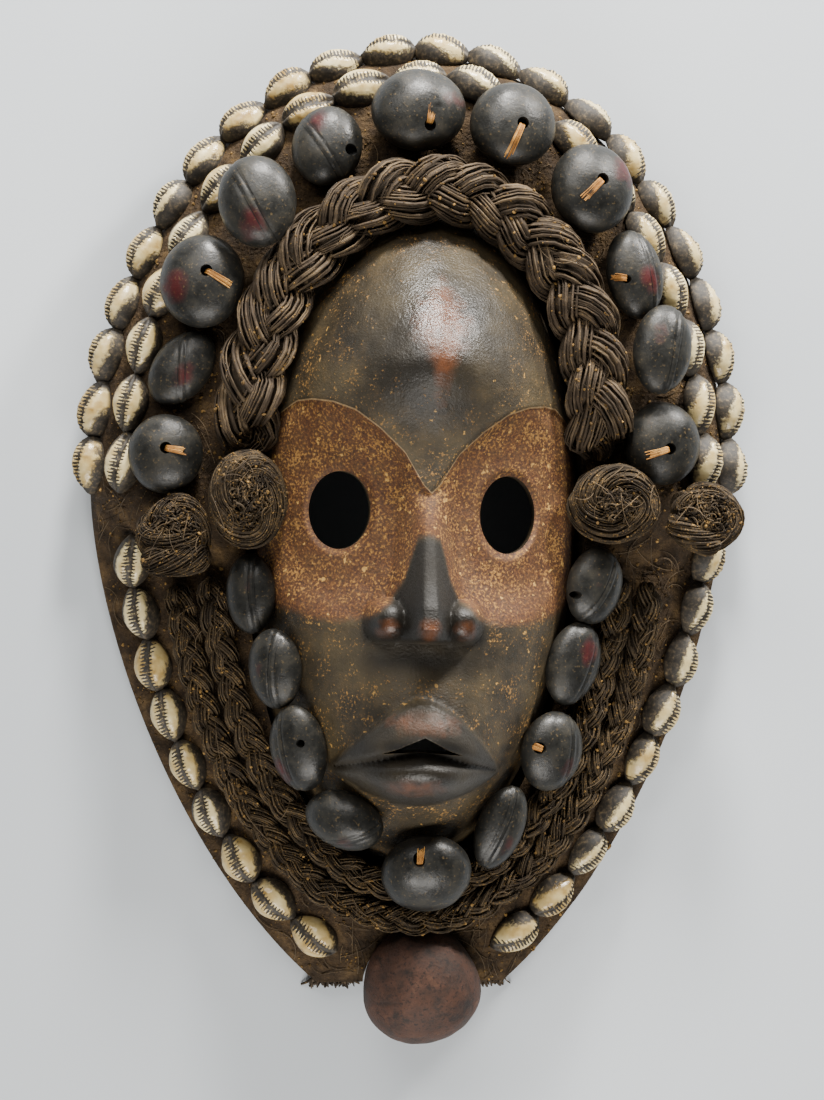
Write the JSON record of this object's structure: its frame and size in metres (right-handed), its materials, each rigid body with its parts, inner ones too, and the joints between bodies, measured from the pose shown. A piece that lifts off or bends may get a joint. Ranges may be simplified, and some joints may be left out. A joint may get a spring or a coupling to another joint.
{
  "type": "dan mask",
  "caption": "Carved dark wooden face mask in a padded cloth collar trimmed with round nuts, cowrie shells, fibre plaits and an iron ball bell.",
  "frame": {"origin": "middle of the mask's outline, on the surface that its flat back lies on", "axes": "+X to the viewer's right, +Y towards the crown, +Z out of the face, so the mask lies on its back with the face up"},
  "size_m": [0.2538, 0.3808, 0.1057],
  "materials": {
    "carved_wood": "dark carved hardwood with a rubbed polish on the high places and ochre earth in the pores",
    "cloth": "dark soiled coarse cloth over padding",
    "fibre": "dark plaited plant fibre",
    "nut": "smooth dark seed shell with a soft gloss",
    "cowrie": "cream glossy shell with dark dirt round the slit",
    "iron": "forged iron with even brown rust"
  },
  "bodies": {
    "root": {"beard_cowries_left": "cowrie", "beard_cowries_right": "cowrie", "beard_nut_01": "nut", "beard_nut_02": "nut", "beard_nut_03": "nut", "beard_nut_04": "nut", "beard_nut_05": "nut", "beard_nut_06": "nut", "beard_nut_07": "nut", "beard_nut_08": "nut", "beard_nut_09": "nut", "beard_plait_inner": "fibre", "beard_plait_outer": "fibre", "bell": "iron", "brow_braid": "fibre", "carved_face": "carved_wood", "cloth_surround": "cloth", "crown_cowries_inner": "cowrie", "crown_cowries_outer": "cowrie", "crown_nut_01": "nut", "crown_nut_02": "nut", "crown_nut_03": "nut", "crown_nut_04": "nut", "crown_nut_05": "nut", "crown_nut_06": "nut", "crown_nut_07": "nut", "crown_nut_08": "nut", "crown_nut_09": "nut", "crown_nut_10": "nut", "crown_nut_11": "nut", "left_ear_coil": "fibre", "left_outer_knot": "fibre", "right_ear_coil": "fibre", "right_outer_knot": "fibre"}
  },
  "joints": []
}
